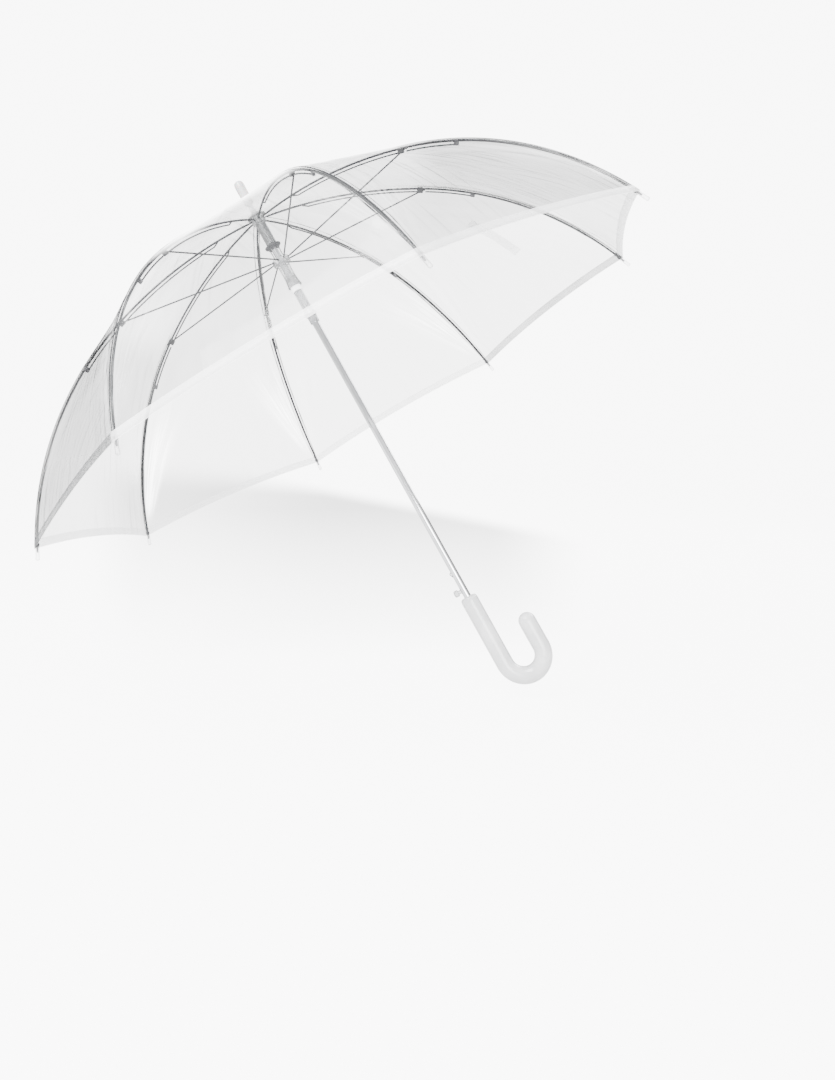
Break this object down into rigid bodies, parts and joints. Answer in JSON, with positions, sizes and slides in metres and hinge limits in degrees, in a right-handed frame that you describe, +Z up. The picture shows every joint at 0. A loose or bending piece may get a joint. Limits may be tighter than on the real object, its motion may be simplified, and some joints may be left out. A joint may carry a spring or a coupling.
{
  "type": "clear bubble umbrella",
  "caption": "Clear bubble umbrella, open, with wire ribs, sliding runner, coil spring, push button and milky J handle.",
  "frame": {"origin": "middle of the straight grip, on the shaft's axis", "axes": "+Z up the shaft to the end cap, +X the way the hook opens, push button faces -X"},
  "size_m": [0.9016, 0.9016, 0.835],
  "materials": {
    "film": "clear flexible film, glossy",
    "hem": "milky flexible film",
    "rib": "dark bright steel wire",
    "shaft": "bright plated tube",
    "spring": "spring steel",
    "cup": "dark plastic",
    "clear_plastic": "clear moulded plastic",
    "white_plastic": "white moulded plastic",
    "end_cap": "milky white plastic",
    "handle": "milky translucent plastic"
  },
  "bodies": {
    "shaft": {"shaft": "shaft", "handle": "handle", "ferrule_cap": "end_cap", "top_notch": "clear_plastic", "main_spring": "spring"},
    "runner": {"runner": "clear_plastic", "runner_ring": "white_plastic", "runner_sleeve": "shaft"},
    "spring_cup": {"spring_cup": "cup"},
    "push_button": {"push_button": "clear_plastic"},
    "catch_spring": {"catch_spring": "spring"},
    "rib_inner_1": {"rib_inner_1": "rib", "canopy_inner_1": "film"},
    "rib_outer_1": {"rib_outer_1": "rib", "tip_cap_1": "clear_plastic", "canopy_outer_1": "film"},
    "stretcher_1": {"stretcher_1": "rib"},
    "rib_inner_2": {"rib_inner_2": "rib", "canopy_inner_2": "film"},
    "rib_outer_2": {"rib_outer_2": "rib", "tip_cap_2": "clear_plastic", "canopy_outer_2": "film"},
    "stretcher_2": {"stretcher_2": "rib"},
    "rib_inner_3": {"rib_inner_3": "rib", "canopy_inner_3": "film"},
    "rib_outer_3": {"rib_outer_3": "rib", "tip_cap_3": "clear_plastic", "canopy_outer_3": "film"},
    "stretcher_3": {"stretcher_3": "rib"},
    "rib_inner_4": {"rib_inner_4": "rib", "canopy_inner_4": "film"},
    "rib_outer_4": {"rib_outer_4": "rib", "tip_cap_4": "clear_plastic", "canopy_outer_4": "film"},
    "stretcher_4": {"stretcher_4": "rib"},
    "rib_inner_5": {"rib_inner_5": "rib", "canopy_inner_5": "film"},
    "rib_outer_5": {"rib_outer_5": "rib", "tip_cap_5": "clear_plastic", "canopy_outer_5": "film"},
    "stretcher_5": {"stretcher_5": "rib"},
    "rib_inner_6": {"rib_inner_6": "rib", "canopy_inner_6": "film"},
    "rib_outer_6": {"rib_outer_6": "rib", "tip_cap_6": "clear_plastic", "canopy_outer_6": "film", "closure_strap": "hem"},
    "stretcher_6": {"stretcher_6": "rib"},
    "rib_inner_7": {"rib_inner_7": "rib", "canopy_inner_7": "film"},
    "rib_outer_7": {"rib_outer_7": "rib", "tip_cap_7": "clear_plastic", "canopy_outer_7": "film"},
    "stretcher_7": {"stretcher_7": "rib"},
    "rib_inner_8": {"rib_inner_8": "rib", "canopy_inner_8": "film"},
    "rib_outer_8": {"rib_outer_8": "rib", "tip_cap_8": "clear_plastic", "canopy_outer_8": "film"},
    "stretcher_8": {"stretcher_8": "rib"}
  },
  "joints": [
    {"name": "runner_slide", "type": "slide", "parent": "shaft", "child": "runner", "axis": [0, 0, 1], "range_m": [-0.4237, 0], "stiffness_N_per_m": 60, "springref_m": 0.4},
    {"name": "cup_slide", "type": "slide", "parent": "shaft", "child": "spring_cup", "axis": [0, 0, 1], "range_m": [0, 0.018], "deforming": ["main_spring"]},
    {"name": "button_press", "type": "slide", "parent": "shaft", "child": "push_button", "axis": [1, 0, 0], "range_m": [0, 0.0015], "stiffness_N_per_m": 400, "springref_m": -0.001},
    {"name": "catch_flex", "type": "hinge", "parent": "shaft", "child": "catch_spring", "pos_m": [-0.0033, 0, 0.045], "axis": [0, 1, 0], "range_deg": [0, 5.07]},
    {"name": "rib_1_fold", "type": "hinge", "parent": "shaft", "child": "rib_inner_1", "pos_m": [-0.00344, -0.00831, 0.677], "axis": [0.9239, -0.3827, 0], "range_deg": [0, 75], "deforming": ["canopy_inner_1"]},
    {"name": "rib_1_flex", "type": "hinge", "parent": "rib_inner_1", "child": "rib_outer_1", "pos_m": [-0.09758, -0.23559, 0.616], "axis": [0.9239, -0.3827, 0], "range_deg": [-32.5, 0], "deforming": ["canopy_outer_1"]},
    {"name": "stretcher_1_fold", "type": "hinge", "parent": "runner", "child": "stretcher_1", "pos_m": [-0.00459, -0.01109, 0.604], "axis": [0.9239, -0.3827, 0], "range_deg": [-86.76, 0]},
    {"name": "rib_2_fold", "type": "hinge", "parent": "shaft", "child": "rib_inner_2", "pos_m": [-0.00831, -0.00344, 0.677], "axis": [0.3827, -0.9239, 0], "range_deg": [0, 75], "deforming": ["canopy_inner_2"]},
    {"name": "rib_2_flex", "type": "hinge", "parent": "rib_inner_2", "child": "rib_outer_2", "pos_m": [-0.23559, -0.09758, 0.616], "axis": [0.3827, -0.9239, 0], "range_deg": [-32.5, 0], "deforming": ["canopy_outer_2"]},
    {"name": "stretcher_2_fold", "type": "hinge", "parent": "runner", "child": "stretcher_2", "pos_m": [-0.01109, -0.00459, 0.604], "axis": [0.3827, -0.9239, 0], "range_deg": [-86.76, 0]},
    {"name": "rib_3_fold", "type": "hinge", "parent": "shaft", "child": "rib_inner_3", "pos_m": [-0.00831, 0.00344, 0.677], "axis": [-0.3827, -0.9239, 0], "range_deg": [0, 75], "deforming": ["canopy_inner_3"]},
    {"name": "rib_3_flex", "type": "hinge", "parent": "rib_inner_3", "child": "rib_outer_3", "pos_m": [-0.23559, 0.09758, 0.616], "axis": [-0.3827, -0.9239, 0], "range_deg": [-32.5, 0], "deforming": ["canopy_outer_3"]},
    {"name": "stretcher_3_fold", "type": "hinge", "parent": "runner", "child": "stretcher_3", "pos_m": [-0.01109, 0.00459, 0.604], "axis": [-0.3827, -0.9239, 0], "range_deg": [-86.76, 0]},
    {"name": "rib_4_fold", "type": "hinge", "parent": "shaft", "child": "rib_inner_4", "pos_m": [-0.00344, 0.00831, 0.677], "axis": [-0.9239, -0.3827, 0], "range_deg": [0, 75], "deforming": ["canopy_inner_4"]},
    {"name": "rib_4_flex", "type": "hinge", "parent": "rib_inner_4", "child": "rib_outer_4", "pos_m": [-0.09758, 0.23559, 0.616], "axis": [-0.9239, -0.3827, 0], "range_deg": [-32.5, 0], "deforming": ["canopy_outer_4"]},
    {"name": "stretcher_4_fold", "type": "hinge", "parent": "runner", "child": "stretcher_4", "pos_m": [-0.00459, 0.01109, 0.604], "axis": [-0.9239, -0.3827, 0], "range_deg": [-86.76, 0]},
    {"name": "rib_5_fold", "type": "hinge", "parent": "shaft", "child": "rib_inner_5", "pos_m": [0.00344, 0.00831, 0.677], "axis": [-0.9239, 0.3827, 0], "range_deg": [0, 75], "deforming": ["canopy_inner_5"]},
    {"name": "rib_5_flex", "type": "hinge", "parent": "rib_inner_5", "child": "rib_outer_5", "pos_m": [0.09758, 0.23559, 0.616], "axis": [-0.9239, 0.3827, 0], "range_deg": [-32.5, 0], "deforming": ["canopy_outer_5"]},
    {"name": "stretcher_5_fold", "type": "hinge", "parent": "runner", "child": "stretcher_5", "pos_m": [0.00459, 0.01109, 0.604], "axis": [-0.9239, 0.3827, 0], "range_deg": [-86.76, 0]},
    {"name": "rib_6_fold", "type": "hinge", "parent": "shaft", "child": "rib_inner_6", "pos_m": [0.00831, 0.00344, 0.677], "axis": [-0.3827, 0.9239, 0], "range_deg": [0, 75], "deforming": ["canopy_inner_6"]},
    {"name": "rib_6_flex", "type": "hinge", "parent": "rib_inner_6", "child": "rib_outer_6", "pos_m": [0.23559, 0.09758, 0.616], "axis": [-0.3827, 0.9239, 0], "range_deg": [-32.5, 0], "deforming": ["canopy_outer_6"]},
    {"name": "stretcher_6_fold", "type": "hinge", "parent": "runner", "child": "stretcher_6", "pos_m": [0.01109, 0.00459, 0.604], "axis": [-0.3827, 0.9239, 0], "range_deg": [-86.76, 0]},
    {"name": "rib_7_fold", "type": "hinge", "parent": "shaft", "child": "rib_inner_7", "pos_m": [0.00831, -0.00344, 0.677], "axis": [0.3827, 0.9239, 0], "range_deg": [0, 75], "deforming": ["canopy_inner_7"]},
    {"name": "rib_7_flex", "type": "hinge", "parent": "rib_inner_7", "child": "rib_outer_7", "pos_m": [0.23559, -0.09758, 0.616], "axis": [0.3827, 0.9239, 0], "range_deg": [-32.5, 0], "deforming": ["canopy_outer_7"]},
    {"name": "stretcher_7_fold", "type": "hinge", "parent": "runner", "child": "stretcher_7", "pos_m": [0.01109, -0.00459, 0.604], "axis": [0.3827, 0.9239, 0], "range_deg": [-86.76, 0]},
    {"name": "rib_8_fold", "type": "hinge", "parent": "shaft", "child": "rib_inner_8", "pos_m": [0.00344, -0.00831, 0.677], "axis": [0.9239, 0.3827, 0], "range_deg": [0, 75], "deforming": ["canopy_inner_8"]},
    {"name": "rib_8_flex", "type": "hinge", "parent": "rib_inner_8", "child": "rib_outer_8", "pos_m": [0.09758, -0.23559, 0.616], "axis": [0.9239, 0.3827, 0], "range_deg": [-32.5, 0], "deforming": ["canopy_outer_8"]},
    {"name": "stretcher_8_fold", "type": "hinge", "parent": "runner", "child": "stretcher_8", "pos_m": [0.00459, -0.01109, 0.604], "axis": [0.9239, 0.3827, 0], "range_deg": [-86.76, 0]}
  ],
  "couplings": [
    {"joint": "cup_slide", "follows": "runner_slide", "ratio": -0.042483},
    {"joint": "catch_flex", "follows": "button_press", "rad_per_m": 58.824},
    {"joint": "rib_1_fold", "follows": "runner_slide", "rad_per_m": -3.0895},
    {"joint": "rib_1_flex", "follows": "runner_slide", "rad_per_m": 1.3388},
    {"joint": "stretcher_1_fold", "follows": "runner_slide", "rad_per_m": 3.574},
    {"joint": "rib_2_fold", "follows": "runner_slide", "rad_per_m": -3.0895},
    {"joint": "rib_2_flex", "follows": "runner_slide", "rad_per_m": 1.3388},
    {"joint": "stretcher_2_fold", "follows": "runner_slide", "rad_per_m": 3.574},
    {"joint": "rib_3_fold", "follows": "runner_slide", "rad_per_m": -3.0895},
    {"joint": "rib_3_flex", "follows": "runner_slide", "rad_per_m": 1.3388},
    {"joint": "stretcher_3_fold", "follows": "runner_slide", "rad_per_m": 3.574},
    {"joint": "rib_4_fold", "follows": "runner_slide", "rad_per_m": -3.0895},
    {"joint": "rib_4_flex", "follows": "runner_slide", "rad_per_m": 1.3388},
    {"joint": "stretcher_4_fold", "follows": "runner_slide", "rad_per_m": 3.574},
    {"joint": "rib_5_fold", "follows": "runner_slide", "rad_per_m": -3.0895},
    {"joint": "rib_5_flex", "follows": "runner_slide", "rad_per_m": 1.3388},
    {"joint": "stretcher_5_fold", "follows": "runner_slide", "rad_per_m": 3.574},
    {"joint": "rib_6_fold", "follows": "runner_slide", "rad_per_m": -3.0895},
    {"joint": "rib_6_flex", "follows": "runner_slide", "rad_per_m": 1.3388},
    {"joint": "stretcher_6_fold", "follows": "runner_slide", "rad_per_m": 3.574},
    {"joint": "rib_7_fold", "follows": "runner_slide", "rad_per_m": -3.0895},
    {"joint": "rib_7_flex", "follows": "runner_slide", "rad_per_m": 1.3388},
    {"joint": "stretcher_7_fold", "follows": "runner_slide", "rad_per_m": 3.574},
    {"joint": "rib_8_fold", "follows": "runner_slide", "rad_per_m": -3.0895},
    {"joint": "rib_8_flex", "follows": "runner_slide", "rad_per_m": 1.3388},
    {"joint": "stretcher_8_fold", "follows": "runner_slide", "rad_per_m": 3.574}
  ]
}
